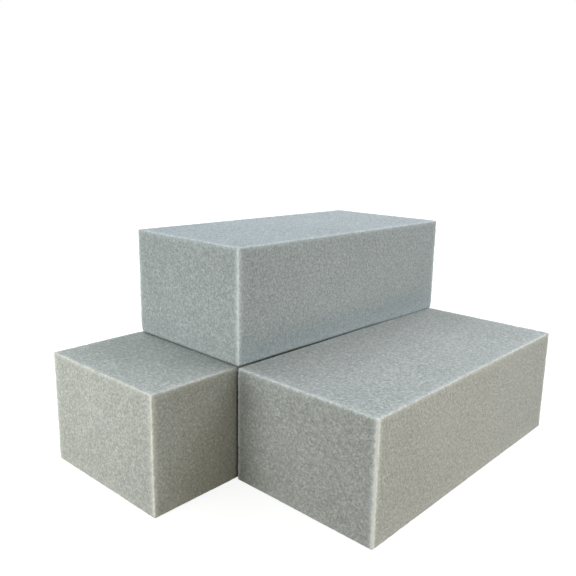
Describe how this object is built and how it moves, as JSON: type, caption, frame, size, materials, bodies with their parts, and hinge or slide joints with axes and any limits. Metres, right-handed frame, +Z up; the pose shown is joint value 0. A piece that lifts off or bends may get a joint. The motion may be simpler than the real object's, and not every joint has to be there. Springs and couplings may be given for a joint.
{
  "type": "floral foam brick",
  "caption": "Rectangular bricks of dry floral foam, loosely stacked; cut or pushed into to hold dried and artificial stems.",
  "frame": {"origin": "middle of the stack's footprint, on the surface that it stands on", "axes": "+Y along the bricks, away from the end that the lower left brick is pulled out of; +Z up; +X from the lower left brick to the lower right one"},
  "size_m": [0.2246, 0.3, 0.156],
  "materials": {
    "lower_left_foam": "matt open-faced fine-celled rigid foam, cut on all sides, with crumbled pale edges",
    "lower_right_foam": "matt open-faced fine-celled rigid foam, cut on all sides, with crumbled pale edges",
    "upper_foam": "matt open-faced fine-celled rigid foam, cut on all sides, with crumbled pale edges"
  },
  "bodies": {
    "lower_left": {"lower_left_brick": "lower_left_foam"},
    "lower_right": {"lower_right_brick": "lower_right_foam"},
    "upper": {"upper_brick": "upper_foam"}
  },
  "joints": [
    {"name": "upper_lift", "type": "slide", "parent": "lower_left", "child": "upper", "axis": [0, 0, 1], "range_m": [0, 0.12]},
    {"name": "right_slide", "type": "slide", "parent": "lower_left", "child": "lower_right", "axis": [1, 0, 0], "range_m": [0, 0.12]}
  ]
}
